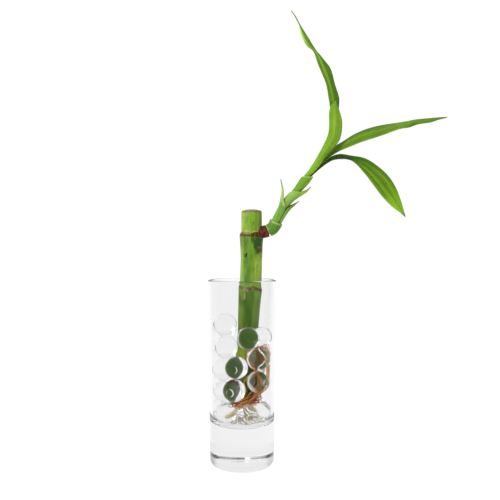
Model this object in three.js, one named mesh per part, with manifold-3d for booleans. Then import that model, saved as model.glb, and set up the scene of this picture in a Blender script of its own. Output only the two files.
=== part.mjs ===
// A lucky bamboo cutting standing in a heavy-based glass cylinder among clear round marbles.
// Millimetres, +Z up. The origin is the centre of the vase's underside, on the surface that it
// stands on. The side shoot leaves the cane towards +X, and the arrangement's front faces -Y.
import * as THREE from "three";
import { mergeVertices } from "three/addons/utils/BufferGeometryUtils.js";
import Module from "manifold-3d";

const wasm = await Module();
wasm.setup();

// ---------------------------------------------------------------- driving dimensions
const GAP = 0.3; // clearance between pieces that touch on the real object
const LEAF_THICKNESS = 0.6;
const SHEATH_THICKNESS = 0.6;

const VASE = {
  height: 133.5,
  rimRadius: 25.2, // outside, at the lip
  heelRadius: 23.4, // outside, just above the rounded heel
  heelRound: 2.5,
  wall: 2.2,
  floor: 28.9, // thickness of the solid glass base
  floorRound: 8, // fillet between the inside wall and the floor
  sides: 48,
};

// Each marble touches the wall. Its angle runs round the vase from the front (-Y) towards +X.
const MARBLES = [
  { angle: 17.2, height: 37.2, radius: 8 }, // the ring of four on the floor
  { angle: 94, height: 37.2, radius: 8 },
  { angle: -59.9, height: 37.2, radius: 8 },
  { angle: -137, height: 37.2, radius: 8 },
  { angle: -96.4, height: 51.3, radius: 7.4 },
  { angle: -22.6, height: 55.2, radius: 8 },
  { angle: 51.5, height: 60.6, radius: 7.6 },
  { angle: -87.1, height: 67.6, radius: 8 },
  { angle: -15.4, height: 71.6, radius: 8 },
  { angle: 56.4, height: 76.8, radius: 8.2 },
  { angle: -120, height: 81.3, radius: 7.4 },
  { angle: -50, height: 85.7, radius: 8 },
  { angle: 85, height: 91.5, radius: 7.4 },
  { angle: 18.7, height: 92.4, radius: 8 },
  { angle: -124.5, height: 97, radius: 7.6 },
  { angle: -55, height: 102, radius: 8 },
];

const CANE = {
  // The foot bends forward, so that it stands close behind the marbles at the front.
  axis: [
    [2.4, 5.3, 47], [2.6, 5.8, 60], [3, 6.6, 71.6], [3.6, 7.8, 76.8], [4, 9.6, 85], [4.3, 11, 91],
    [5, 12, 105], [6.4, 11.2, 126.5], [7, 11, 150], [7.1, 11, 185.8],
  ],
  // Radius at each height, from the cut foot through the scar rings to the cut top.
  outline: [
    [7.6, 47], [8.3, 48.5], [8.7, 51], [8.8, 58], [8.7, 63], [8.5, 70], [8.4, 76], [8.5, 80], [8.6, 83.6],
    [8.3, 85.4], [7.8, 88], [8, 98], [8.4, 110], [8.9, 121], [9.1, 125], [9.1, 126.4], [8.7, 127.4],
    [8.2, 130], [8.1, 148], [8.6, 160], [9, 165.6], [9.1, 167.1], [8.7, 168.1], [7.8, 169.6],
    [7.7, 183.6], [7.3, 185], [4, 185.8],
  ],
  sides: 24,
};

// The side shoot's axis, out of the cane's top scar ring and up to where the leaves part.
const SHOOT_AXIS = [
  [12.4, 9.3, 168], [15.4, 8.9, 168.8], [19.2, 8.4, 169.8], [22.8, 7.8, 172], [25.7, 7, 176.6],
  [31.5, 5.5, 188.3], [40.9, 3.9, 199.7], [44.8, 3.1, 204.6],
];
// The red-brown swelling at the cane, where it ends along the axis, and how the stem thins past it.
const COLLAR = { radius: 4.7, end: 6.9, edge: 0.05, shoulder: 2.9, taper: 0.04 };
const STEM_RADIUS = 1.5;
const STEM_STEPS = 16;
const STEM_SIDES = 12;

// Each sheath is a split tube round a centre line. `facing` is the direction of its middle, in
// degrees from the shoot's upper left over its front; `spread` is half of the angle it wraps.
// `slant` tilts its free end, so that the side away from the upper left stands higher.
const SHEATHS = [
  {
    name: "sheath_cup", facing: 10, slant: 0,
    line: [[19.8, 8.3, 170], [22.5, 7.9, 171.4], [24.5, 7.5, 173.9], [25.6, 7.1, 176.4]],
    radius: [4.5, 4.6, 4.6, 4.9], spread: [168, 168, 168, 168],
  },
  {
    name: "sheath_left", facing: 14, slant: 0,
    line: [
      [25, 7.3, 175.6], [28.6, 6.3, 182.4], [31, 5.5, 187.2], [31.7, 5, 193], [31.4, 4.6, 200],
      [29.2, 4.4, 208.2],
    ],
    radius: [3.4, 3.5, 3.7, 3.2, 1.7, 0.5], spread: [105, 105, 100, 62, 55, 40],
  },
  {
    name: "sheath_right", facing: 194, slant: 0,
    line: [[25.3, 7.3, 175.4], [29.2, 6.3, 182.1], [33, 5.2, 187.1], [37.8, 4.7, 190.2], [42.4, 4.5, 192.2]],
    radius: [3.4, 3.5, 3.3, 2.3, 0.5], spread: [68, 75, 82, 62, 40],
  },
  {
    name: "sheath_upper", facing: 176, slant: 0,
    line: [
      [31, 5.6, 187.4], [34.4, 4.9, 192.3], [38.2, 4.3, 196.4], [42.6, 4.1, 199.1], [46.8, 4, 201],
      [50.6, 4, 202.8],
    ],
    radius: [2.55, 3.15, 3.8, 3.7, 3, 0.9], spread: [165, 165, 130, 72, 58, 45],
  },
  {
    name: "sheath_top", facing: 184, slant: 2.4,
    line: [[38, 4.4, 196.6], [41.6, 3.8, 200.6], [45.8, 3.1, 205.7], [48.6, 2.6, 209.6]],
    radius: [2.2, 2.7, 3.4, 3.4], spread: [165, 165, 165, 165],
  },
];

// Each leaf is given by its two margins, from the base in the sheath to the tip, and by how far
// its middle stands off the line between them, as a share of the width.
const LEAVES = [
  {
    name: "leaf_young", sag: 0.1,
    left: [
      [45.1, 1.6, 208.6], [50.4, 0.5, 216.2], [55.4, -0.9, 224.1], [60.1, -1.4, 232.9], [63, -1.2, 240],
      [64, -0.4, 247.3], [64.3, 0.6, 254.2], [64.8, 1.6, 259.3], [66.4, 2.6, 263.1], [69.3, 4, 266.1],
    ],
    right: [
      [47.1, 1.6, 207], [56.4, 0.7, 216.4], [62.1, 0.6, 224.3], [67.6, 1.2, 230.7], [72.1, 2.6, 236.5],
      [74.3, 4.2, 243.2], [74.7, 5.2, 250.1], [73.6, 5.6, 255.8], [72.2, 5.4, 260.9], [69.9, 4.4, 266],
    ],
  },
  {
    name: "leaf_tall", sag: 0.1,
    left: [
      [44.7, 2.6, 208.9], [50.3, 1.9, 215.6], [55.4, 1, 223.6], [61, 1, 232.5], [64.2, 1.5, 242.6],
      [64.9, 2.7, 253.2], [65.5, 3.9, 262], [63.9, 5.2, 272.5], [61.6, 6.4, 282.8], [56.8, 8.2, 295.9],
      [53.3, 10, 305.3], [48.5, 12, 311.1], [44.9, 13.5, 319.3], [43.2, 14.5, 327.2], [40.6, 15.2, 332.8],
      [37.3, 16, 338.6],
    ],
    right: [
      [47.1, 2.7, 207], [55.4, 2.7, 215.6], [61, 3.2, 224], [66.6, 4, 231.4], [70.8, 5.4, 238.6],
      [73.2, 7.6, 249.4], [72.8, 8.5, 261.8], [72.8, 9.4, 270.6], [70, 10, 281.6], [66.4, 10.4, 292.6],
      [61.4, 10.8, 300], [55.9, 11.2, 306.7], [49.8, 12.6, 317.4], [44.4, 14, 327], [41.5, 15, 333],
      [37.8, 16, 338.8],
    ],
  },
  {
    name: "leaf_right", sag: 0.14,
    left: [
      [44.8, 3.6, 208.8], [55.4, 5.4, 218.6], [62, 7.6, 226], [68.4, 9.8, 232.6], [76.1, 11.8, 237.4],
      [84.6, 13.4, 243.3], [94.4, 14.8, 247.5], [107.5, 16.4, 251.1], [120.7, 18, 253.7], [128.9, 18.6, 254.9],
      [135.4, 18.4, 256.1], [145, 19.2, 257.3], [152.4, 20.6, 258], [159.1, 22, 258.8],
    ],
    right: [
      [47.1, 3.7, 207], [57.4, 4.7, 217], [64.7, 4.8, 223.8], [71.7, 5.2, 228.4], [78.7, 5.8, 231.8],
      [86.4, 6.8, 234.8], [95, 8.2, 238], [107.2, 10.2, 242.5], [119.6, 12.6, 247], [127.3, 14.2, 248.7],
      [134.4, 16.2, 251.6], [145.2, 17.6, 253.4], [152.4, 19.6, 256.1], [159.3, 22, 258.3],
    ],
  },
  {
    name: "leaf_drooping", sag: 0.12,
    left: [
      [48, 2.2, 206.4], [58.8, 1.5, 218.1], [65.1, -1.8, 223.5], [71.8, -6, 224.9], [79.3, -9, 223.6],
      [88.3, -11, 220.9], [97, -12, 215.4], [104.2, -13, 208.4], [109.5, -14, 199.8], [112.5, -15.5, 191.1],
      [114.3, -17, 183.2], [115.3, -18, 178.9],
    ],
    right: [
      [47.8, 4, 206.5], [59.8, 3.8, 217.2], [67.5, 3.9, 222], [74, 2.3, 223], [79.1, -0.5, 221.4],
      [84, -4, 217.2], [89.4, -7.5, 209.8], [94.9, -10.5, 201.1], [101.1, -13, 192.2], [106.9, -15, 185.6],
      [112.1, -17, 181.4], [115, -18, 178.6],
    ],
  },
];
const LEAF_STRIPS = 4; // across each leaf
const ROWS_PER_POINT = 2.6; // rows of faces between two margin points

// Roots start on the cane and are led past these places; each strand strays a little from them.
const ROOT_ROUTES = [
  { // down the right wall, then under the middle of the vase
    strands: 4, radius: 0.65,
    via: [
      [13.5, 8, 83], [19, 4, 80], [20.6, -1.5, 72], [20.4, -5, 63], [18.6, -6, 54], [12, -10, 47.5],
      [4, -9, 44],
    ],
  },
  { // over and down the left side of the marble at mid height
    strands: 2, radius: 0.55,
    via: [
      [9, 3, 84], [8.4, -4, 87], [4.6, -12, 84], [3.4, -17, 77], [7.4, -18.4, 69], [10, -18.6, 62],
      [12.6, -17, 55], [7, -15, 46],
    ],
  },
  { // over its top and down its front
    strands: 2, radius: 0.5,
    via: [
      [10, 2.6, 84], [10.6, -5, 87], [13, -12, 85], [9, -17.4, 78], [8, -18.6, 69], [12, -17.6, 58],
      [9, -11, 46],
    ],
  },
  { // between the two marbles low on the left
    strands: 1, radius: 0.5,
    via: [[3.6, 3.4, 64], [2.6, -6, 64], [3.4, -14, 63], [3.8, -17.4, 56], [1, -18, 46.5], [2, -8, 44]],
  },
  { // two loops round the cut foot, from its back and from its front
    strands: 2, radius: 0.6,
    via: [[10, 8, 52], [12, 2, 48], [9, -8, 46], [0, -14, 45], [-8, -9, 44], [-4, 2, 44]],
  },
  {
    strands: 2, radius: 0.6,
    via: [[-4, 5, 50], [-6, -2, 47], [-3, -10, 45], [6, -13, 44.5], [11, -5, 45], [6, 2, 44]],
  },
];
const PALE_ROUTES = [
  { strands: 2, radius: 0.5, via: [[2, -2, 37], [3, -6, 31.5], [10, -14, 31], [14, -13, 32]] },
  { strands: 2, radius: 0.5, via: [[-1, -3, 37], [-3, -8, 33], [-4, -15.5, 31.5], [-9, -15.5, 31]] },
  { strands: 2, radius: 0.45, via: [[4, -3, 38], [7, -3, 33], [13, -9, 32], [17, -8, 34]] },
  { strands: 1, radius: 0.45, via: [[-3, 0, 37], [-3, 4, 32], [2, 9, 30.5], [7, 13, 31]] },
  { strands: 1, radius: 0.45, via: [[-2, -5, 38], [-4, -11, 40], [-3.6, -17, 38], [-4, -18, 34]] },
];
const ROOT_STEP = 3; // between two rings of a root
const ROOT_SIDES = 4;
const ROOT_PASSES = 30; // of smoothing a strand and moving it clear
const ROOT_SMOOTHING = 0.2; // the share of the way to its neighbours' middle that a point moves
const ROOT_STRAY = 2; // how far a strand strays from its route
const ROOT_SLACK = 0.12; // how much of its clearance a strand may lose
const ROOT_TIP = { share: 0.45, growth: 0.12 }; // of the radius at the tip, and per ring after it
const ROOT_SHORTEST = 5; // rings in the shortest strand kept
const CROWN_RINGS = 3; // the last rings of a strand, inside the crown
const ROOT_DETAIL = 0.15; // facets of the bunch smaller than this are merged
const ORANGE_CROWN = { centre: [3, 6, 43.8], size: [5, 7, 2.6], lowest: 42 };
const PALE_CROWN = { centre: [0, -1, 38.2], size: [2.2, 2.2, 2.2], highest: 40 };

// ---------------------------------------------------------------- materials
function finish(color, roughness, options = {}) {
  return new THREE.MeshStandardMaterial({ color, roughness, ...options });
}
const CLEAR_GLASS = finish(0xf2f5f4, 0.03, { transparent: true, opacity: 0.35 });
const CANE_SKIN = finish(0x86a63c, 0.45);
const SHOOT_SKIN = finish(0x82a44e, 0.5);
const SHEATH_SKIN = finish(0x8bb05a, 0.5);
const LEAF_BLADE = finish(0x79a334, 0.42, { side: THREE.DoubleSide });
const ORANGE_ROOT = finish(0xb9672f, 0.6);
const PALE_ROOT = finish(0xd8c39a, 0.6);

// ---------------------------------------------------------------- helpers
const radians = (degrees) => (degrees * Math.PI) / 180;
const vector = ([x, y, z]) => new THREE.Vector3(x, y, z);
const smoothLine = (points) => new THREE.CatmullRomCurve3(points.map(vector), false, "centripetal");

// A fixed sequence of numbers from 0 to 1, so that the roots grow alike every time.
let seed = 20;
function chance() {
  seed = (seed * 1664525 + 1013904223) % 4294967296;
  return seed / 4294967296;
}

// The value at a place from 0 to 1 along a list of evenly spaced values.
function along(values, place) {
  const step = place * (values.length - 1);
  const index = Math.min(Math.floor(step), values.length - 2);
  return THREE.MathUtils.lerp(values[index], values[index + 1], step - index);
}

function meshGeometry(points, faces) {
  const geometry = new THREE.BufferGeometry().setFromPoints(points);
  geometry.setIndex(faces.flat());
  return geometry;
}

function merged(geometry) {
  const shape = geometry.clone();
  shape.deleteAttribute("normal");
  shape.deleteAttribute("uv");
  return mergeVertices(shape, 1e-4);
}

// ---------------------------------------------------------------- solids, joined and cut
function solid(geometry) {
  const shape = merged(geometry);
  return new wasm.Manifold(new wasm.Mesh({
    numProp: 3,
    vertProperties: new Float32Array(shape.attributes.position.array),
    triVerts: new Uint32Array(shape.index.array),
  }));
}

function geometryOf(body) {
  const mesh = body.getMesh();
  const geometry = new THREE.BufferGeometry();
  geometry.setAttribute("position", new THREE.BufferAttribute(new Float32Array(mesh.vertProperties), 3));
  geometry.setIndex(new THREE.BufferAttribute(new Uint32Array(mesh.triVerts), 1));
  return geometry;
}

// The largest single body of a joined solid; loose scraps are dropped.
function mainBody(body) {
  const pieces = body.decompose();
  return pieces.reduce((best, piece) => (piece.volume() > best.volume() ? piece : best));
}

// ---------------------------------------------------------------- shape makers
// A turned solid about Z, from an outline of [radius, height] points that starts and ends on the axis.
function turned(outline, sides) {
  const points = outline.map(([radius, height]) => new THREE.Vector2(radius, height));
  return new THREE.LatheGeometry(points, sides).rotateX(Math.PI / 2);
}

function arc(centreR, centreZ, radius, fromDegrees, toDegrees, steps) {
  return Array.from({ length: steps + 1 }, (_, i) => {
    const angle = radians(THREE.MathUtils.lerp(fromDegrees, toDegrees, i / steps));
    return [centreR + radius * Math.cos(angle), centreZ + radius * Math.sin(angle)];
  });
}

// A thin sheet of even thickness over a grid of points: rows run along it, columns across it.
// Both faces are split into triangles along the same diagonals.
function sheet(rows, thickness) {
  const last = rows.length - 1;
  const width = rows[0].length;
  const points = [];
  for (const side of [0.5, -0.5]) {
    rows.forEach((row, i) => row.forEach((point, j) => {
      const lengthwise = rows[Math.min(i + 1, last)][j].clone().sub(rows[Math.max(i - 1, 0)][j]);
      const across = row[Math.min(j + 1, width - 1)].clone().sub(row[Math.max(j - 1, 0)]);
      const normal = across.cross(lengthwise).normalize();
      points.push(point.clone().addScaledVector(normal, side * thickness));
    }));
  }
  const front = (i, j) => i * width + j;
  const back = (i, j) => (last + 1) * width + i * width + j;
  const faces = [];
  for (let i = 0; i < last; i += 1) {
    for (let j = 0; j < width - 1; j += 1) {
      faces.push([front(i, j), front(i, j + 1), front(i + 1, j + 1)]);
      faces.push([front(i, j), front(i + 1, j + 1), front(i + 1, j)]);
      faces.push([back(i, j), back(i + 1, j + 1), back(i, j + 1)]);
      faces.push([back(i, j), back(i + 1, j), back(i + 1, j + 1)]);
    }
    faces.push([front(i, 0), front(i + 1, 0), back(i + 1, 0)]);
    faces.push([front(i, 0), back(i + 1, 0), back(i, 0)]);
    faces.push([front(i, width - 1), back(i + 1, width - 1), front(i + 1, width - 1)]);
    faces.push([front(i, width - 1), back(i, width - 1), back(i + 1, width - 1)]);
  }
  for (let j = 0; j < width - 1; j += 1) {
    faces.push([front(0, j), back(0, j), back(0, j + 1)]);
    faces.push([front(0, j), back(0, j + 1), front(0, j + 1)]);
    faces.push([front(last, j), back(last, j + 1), back(last, j)]);
    faces.push([front(last, j), front(last, j + 1), back(last, j + 1)]);
  }
  return meshGeometry(points, faces);
}

// A round rod along a list of centres, with a radius at each of them.
function rod(centres, radii, sides) {
  const points = [];
  const faces = [];
  let side = new THREE.Vector3(0, 1, 0);
  centres.forEach((centre, i) => {
    const ahead = centres[Math.min(i + 1, centres.length - 1)];
    const behind = centres[Math.max(i - 1, 0)];
    const tangent = ahead.clone().sub(behind).normalize();
    side = side.clone().addScaledVector(tangent, -side.dot(tangent)).normalize();
    const other = tangent.clone().cross(side);
    for (let k = 0; k < sides; k += 1) {
      const turn = (2 * Math.PI * k) / sides;
      const point = centre.clone().addScaledVector(side, radii[i] * Math.cos(turn));
      points.push(point.addScaledVector(other, radii[i] * Math.sin(turn)));
    }
  });
  const ring = (i, k) => i * sides + (k % sides);
  for (let k = 0; k < sides; k += 1) {
    for (let i = 0; i < centres.length - 1; i += 1) {
      faces.push([ring(i, k), ring(i, k + 1), ring(i + 1, k + 1)]);
      faces.push([ring(i, k), ring(i + 1, k + 1), ring(i + 1, k)]);
    }
    faces.push([points.length, ring(0, k + 1), ring(0, k)]);
    faces.push([points.length + 1, ring(centres.length - 1, k), ring(centres.length - 1, k + 1)]);
  }
  points.push(centres[0].clone(), centres[centres.length - 1].clone());
  return meshGeometry(points, faces);
}

// ---------------------------------------------------------------- vase
function wallInside(height) {
  const rise = (height - VASE.heelRound) / (VASE.height - VASE.heelRound);
  return THREE.MathUtils.lerp(VASE.heelRadius, VASE.rimRadius, rise) - VASE.wall;
}

// The largest radius that clears the faceted inside of the vase at a height.
function roomInside(height) {
  const above = height - VASE.floor;
  const fillet = VASE.floorRound;
  const corner = above < fillet ? fillet - Math.sqrt(fillet ** 2 - (fillet - above) ** 2) : 0;
  return wallInside(height) * Math.cos(Math.PI / VASE.sides) - corner - GAP;
}

function vaseGeometry() {
  const lip = VASE.wall / 2;
  const filletTop = VASE.floor + VASE.floorRound;
  return turned([
    [0, 0],
    ...arc(VASE.heelRadius - VASE.heelRound, VASE.heelRound, VASE.heelRound, -90, 0, 5),
    ...arc(VASE.rimRadius - lip, VASE.height - lip, lip, 0, 180, 4),
    ...arc(wallInside(filletTop) - VASE.floorRound, filletTop, VASE.floorRound, 0, -90, 4),
    [0, VASE.floor],
  ], VASE.sides);
}

// ---------------------------------------------------------------- marbles
const MARBLE_PLACES = MARBLES.map(({ angle, height, radius }) => {
  const reach = roomInside(height) - radius;
  const centre = vector([reach * Math.sin(radians(angle)), -reach * Math.cos(radians(angle)), height]);
  return { centre, radius };
});

function marbleGeometry(radius) {
  return new THREE.SphereGeometry(radius, 12, 8).rotateX(Math.PI / 2);
}

// ---------------------------------------------------------------- cane
const CANE_FOOT = CANE.axis[0][2];

function caneCentre(height) {
  const next = CANE.axis.findIndex((point) => point[2] > height);
  const index = next < 0 ? CANE.axis.length - 1 : Math.max(next, 1);
  const [low, high] = [vector(CANE.axis[index - 1]), vector(CANE.axis[index])];
  return low.lerp(high, (height - low.z) / (high.z - low.z));
}

function caneRadius(height) {
  const { outline } = CANE;
  const next = outline.findIndex((point) => point[1] > height);
  const index = next < 0 ? outline.length - 1 : Math.max(next, 1);
  const [low, high] = [outline[index - 1], outline[index]];
  return THREE.MathUtils.mapLinear(height, low[1], high[1], low[0], high[0]);
}

// The cane is turned straight, then each ring is moved on to the leaning axis.
function caneGeometry(allowance) {
  const outline = CANE.outline.map(([radius, height]) => [radius + allowance, height]);
  const top = CANE.outline[CANE.outline.length - 1][1];
  const shape = turned([[0, CANE_FOOT], ...outline, [0, top]], CANE.sides);
  const { position } = shape.attributes;
  for (let i = 0; i < position.count; i += 1) {
    const centre = caneCentre(position.getZ(i));
    position.setXY(i, position.getX(i) + centre.x, position.getY(i) + centre.y);
  }
  return shape;
}

// ---------------------------------------------------------------- shoot
function stemRadius(distance) {
  if (distance < COLLAR.end) {
    return COLLAR.radius;
  }
  return Math.max(STEM_RADIUS, COLLAR.shoulder - (distance - COLLAR.end) * COLLAR.taper);
}

function shootStemGeometry() {
  const line = smoothLine(SHOOT_AXIS);
  const length = line.getLength();
  const stops = Array.from({ length: STEM_STEPS + 1 }, (_, i) => (length * i) / STEM_STEPS);
  stops.push(COLLAR.end - COLLAR.edge, COLLAR.end + COLLAR.edge);
  stops.sort((a, b) => a - b);
  const centres = stops.map((distance) => line.getPointAt(distance / length));
  const stem = solid(rod(centres, stops.map(stemRadius), STEM_SIDES));
  return geometryOf(mainBody(stem.subtract(solid(caneGeometry(GAP)))));
}

function sheathGeometry({ line, radius, spread, facing, slant }) {
  const curve = smoothLine(line);
  const steps = line.length * 2;
  const columns = Math.max(...spread) > 120 ? 12 : 6;
  const rows = Array.from({ length: steps + 1 }, (_, i) => {
    const place = i / steps;
    const centre = curve.getPoint(place);
    const tangent = curve.getTangent(place);
    const upperLeft = tangent.clone().cross(new THREE.Vector3(0, 1, 0)).normalize();
    const front = tangent.clone().cross(upperLeft);
    return Array.from({ length: columns + 1 }, (_unused, j) => {
      const turn = radians(facing + along(spread, place) * ((2 * j) / columns - 1));
      const point = centre.clone().addScaledVector(upperLeft, along(radius, place) * Math.cos(turn));
      point.addScaledVector(front, along(radius, place) * Math.sin(turn));
      return point.addScaledVector(tangent, -slant * place ** 3 * Math.cos(turn));
    });
  });
  return sheet(rows, SHEATH_THICKNESS);
}

// ---------------------------------------------------------------- leaves
function leafGeometry({ left, right, sag }) {
  const [leftMargin, rightMargin] = [smoothLine(left), smoothLine(right)];
  const steps = Math.round((left.length - 1) * ROWS_PER_POINT);
  const rows = Array.from({ length: steps + 1 }, (_, i) => {
    const place = i / steps;
    const start = leftMargin.getPoint(place);
    const across = rightMargin.getPoint(place).sub(start);
    const lengthwise = leftMargin.getTangent(place).add(rightMargin.getTangent(place));
    const outward = across.clone().cross(lengthwise).normalize();
    return Array.from({ length: LEAF_STRIPS + 1 }, (_unused, j) => {
      const share = j / LEAF_STRIPS;
      const lift = sag * across.length() * Math.sin(Math.PI * share);
      return start.clone().addScaledVector(across, share).addScaledVector(outward, lift);
    });
  });
  return sheet(rows, LEAF_THICKNESS);
}

// ---------------------------------------------------------------- roots
// Moves a point of a root until a strand of this radius clears the marbles, the cane and the glass.
function pushClear(point, radius) {
  for (const marble of MARBLE_PLACES) {
    const away = point.clone().sub(marble.centre);
    const least = marble.radius + radius + GAP;
    if (away.length() < least) {
      point.addScaledVector(away.normalize(), least - point.distanceTo(marble.centre));
    }
  }
  if (point.z > CANE_FOOT - radius - GAP) {
    const centre = caneCentre(Math.max(point.z, CANE_FOOT));
    const away = new THREE.Vector3(point.x - centre.x, point.y - centre.y, 0);
    const least = caneRadius(Math.max(point.z, CANE_FOOT + 1)) + radius + GAP;
    if (away.length() < least) {
      point.addScaledVector(away.clone().normalize(), least - away.length());
    }
  }
  const room = roomInside(point.z) - radius;
  const reach = Math.hypot(point.x, point.y);
  if (reach > room) {
    point.x *= room / reach;
    point.y *= room / reach;
  }
  point.z = Math.max(point.z, VASE.floor + radius + GAP);
}

function isClear(point, radius) {
  const moved = point.clone();
  pushClear(moved, radius);
  return moved.distanceTo(point) < ROOT_SLACK;
}

// One strand, led from the crown along its route, smoothed and kept clear of what it passes.
function rootStrand(crown, via, radius) {
  const stray = () => (chance() - 0.5) * 2 * ROOT_STRAY;
  const guide = via.map(([x, y, z]) => [x + stray(), y + stray(), z + stray()]);
  const line = smoothLine([...guide, crown]);
  const count = Math.ceil(line.getLength() / ROOT_STEP);
  const points = line.getSpacedPoints(count);
  for (let pass = 0; pass < ROOT_PASSES; pass += 1) {
    for (let i = 1; i < count; i += 1) {
      const middle = points[i - 1].clone().lerp(points[i + 1], 0.5);
      points[i].lerp(middle, ROOT_SMOOTHING);
    }
    points.slice(0, -CROWN_RINGS).forEach((point) => pushClear(point, radius));
  }
  return points;
}

function rootBunch(routes, crown, heights) {
  const [x, y, z] = crown.size;
  const heart = new THREE.SphereGeometry(1, 8, 5).rotateX(Math.PI / 2).scale(x, y, z);
  let bunch = solid(heart.translate(...crown.centre));
  for (const { strands, radius, via } of routes) {
    for (let n = 0; n < strands; n += 1) {
      const points = rootStrand(crown.centre, via, radius);
      points.forEach((point) => { point.z = THREE.MathUtils.clamp(point.z, ...heights); });
      // A strand is kept from the crown out to the first place where it can't pass.
      const blocked = points.slice(0, -CROWN_RINGS).findLastIndex((point) => !isClear(point, radius));
      const kept = points.slice(blocked + 1);
      if (kept.length >= ROOT_SHORTEST) {
        const radii = kept.map((_, i) => radius * Math.min(1, ROOT_TIP.share + i * ROOT_TIP.growth));
        bunch = bunch.add(solid(rod(kept, radii, ROOT_SIDES)));
      }
    }
  }
  return geometryOf(mainBody(bunch.simplify(ROOT_DETAIL)));
}

// ---------------------------------------------------------------- assembly
const plant = new THREE.Group();

function addPiece(name, geometry, material, parent = plant) {
  const mesh = new THREE.Mesh(geometry, material);
  mesh.name = name;
  parent.add(mesh);
  return mesh;
}

addPiece("vase", vaseGeometry(), CLEAR_GLASS);

const marbles = new THREE.Group();
MARBLE_PLACES.forEach(({ centre, radius }, i) => {
  const name = `marble_${String(i + 1).padStart(2, "0")}`;
  addPiece(name, marbleGeometry(radius), CLEAR_GLASS, marbles).position.copy(centre);
});
plant.add(marbles);

addPiece("cane", caneGeometry(0), CANE_SKIN);
addPiece("shoot_stem", shootStemGeometry(), SHOOT_SKIN);
SHEATHS.forEach((sheath) => addPiece(sheath.name, sheathGeometry(sheath), SHEATH_SKIN));
LEAVES.forEach((leaf) => addPiece(leaf.name, leafGeometry(leaf), LEAF_BLADE));

const orangeHeights = [ORANGE_CROWN.lowest, VASE.height];
const paleHeights = [0, PALE_CROWN.highest];
addPiece("roots_orange", rootBunch(ROOT_ROUTES, ORANGE_CROWN, orangeHeights), ORANGE_ROOT);
addPiece("roots_pale", rootBunch(PALE_ROUTES, PALE_CROWN, paleHeights), PALE_ROOT);

export default plant;
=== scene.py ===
"""Looks of a lucky bamboo cutting in a glass cylinder with clear marbles. Lengths are in
millimetres until a mesh is made; the frame is the CAD frame, +Z up, with the front towards -Y."""

import math
import random

import bpy
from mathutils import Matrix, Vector, noise


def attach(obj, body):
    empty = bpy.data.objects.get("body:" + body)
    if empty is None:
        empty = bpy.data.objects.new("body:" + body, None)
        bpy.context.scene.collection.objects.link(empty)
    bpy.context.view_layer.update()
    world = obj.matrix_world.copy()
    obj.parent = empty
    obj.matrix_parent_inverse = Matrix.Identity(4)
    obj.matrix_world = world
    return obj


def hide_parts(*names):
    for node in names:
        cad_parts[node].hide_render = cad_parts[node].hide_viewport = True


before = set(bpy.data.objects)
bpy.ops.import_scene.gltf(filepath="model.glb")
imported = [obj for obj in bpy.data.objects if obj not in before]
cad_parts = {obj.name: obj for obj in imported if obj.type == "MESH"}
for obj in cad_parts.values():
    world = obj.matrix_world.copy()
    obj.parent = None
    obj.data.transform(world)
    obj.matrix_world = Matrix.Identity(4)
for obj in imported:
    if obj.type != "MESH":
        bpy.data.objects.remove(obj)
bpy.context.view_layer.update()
scene = bpy.context.scene
MM = 0.001

# ---------------- sizes shared with the solids
VASE = {
    "height": 133.5, "rim_radius": 25.2, "heel_radius": 23.4, "heel_round": 2.5,
    "wall": 2.2, "floor": 28.9, "floor_round": 8.0,
}
VASE_SIDES = 160
SOLID_SIDES = 48  # of the solid vase, whose flats lie a little inside its round
GAP = 0.3  # clearance between pieces that touch on the real object

# Angle round the vase from the front towards +X, height and radius. Each marble touches the wall.
MARBLES = [
    (17.2, 37.2, 8.0), (94.0, 37.2, 8.0), (-59.9, 37.2, 8.0), (-137.0, 37.2, 8.0),
    (-96.4, 51.3, 7.4), (-22.6, 55.2, 8.0), (51.5, 60.6, 7.6), (-87.1, 67.6, 8.0),
    (-15.4, 71.6, 8.0), (56.4, 76.8, 8.2), (-120.0, 81.3, 7.4), (-50.0, 85.7, 8.0),
    (85.0, 91.5, 7.4), (18.7, 92.4, 8.0), (-124.5, 97.0, 7.6), (-55.0, 102.0, 8.0),
]

CANE_AXIS = [
    (2.4, 5.3, 47), (2.6, 5.8, 60), (3, 6.6, 71.6), (3.6, 7.8, 76.8), (4, 9.6, 85),
    (4.3, 11, 91), (5, 12, 105), (6.4, 11.2, 126.5), (7, 11, 150), (7.1, 11, 185.8),
]
CANE_OUTLINE = [
    (7.6, 47), (8.3, 48.5), (8.7, 51), (8.8, 58), (8.7, 63), (8.5, 70), (8.4, 76), (8.5, 80),
    (8.6, 83.6), (8.3, 85.4), (7.8, 88), (8, 98), (8.4, 110), (8.9, 121), (9.1, 125), (9.1, 126.4),
    (8.7, 127.4), (8.2, 130), (8.1, 148), (8.6, 160), (9, 165.6), (9.1, 167.1), (8.7, 168.1),
    (7.8, 169.6), (7.7, 183.6), (7.3, 185), (4, 185.8),
]
CANE_ROWS, CANE_SIDES = 300, 112

SHOOT_AXIS = [
    (12.4, 9.3, 168), (15.4, 8.9, 168.8), (19.2, 8.4, 169.8), (22.8, 7.8, 172),
    (25.7, 7, 176.6), (31.5, 5.5, 188.3), (40.9, 3.9, 199.7), (44.8, 3.1, 204.6),
]
COLLAR = {"radius": 4.7, "end": 6.9, "shoulder": 2.9, "taper": 0.04}
STEM_RADIUS = 1.5

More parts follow.
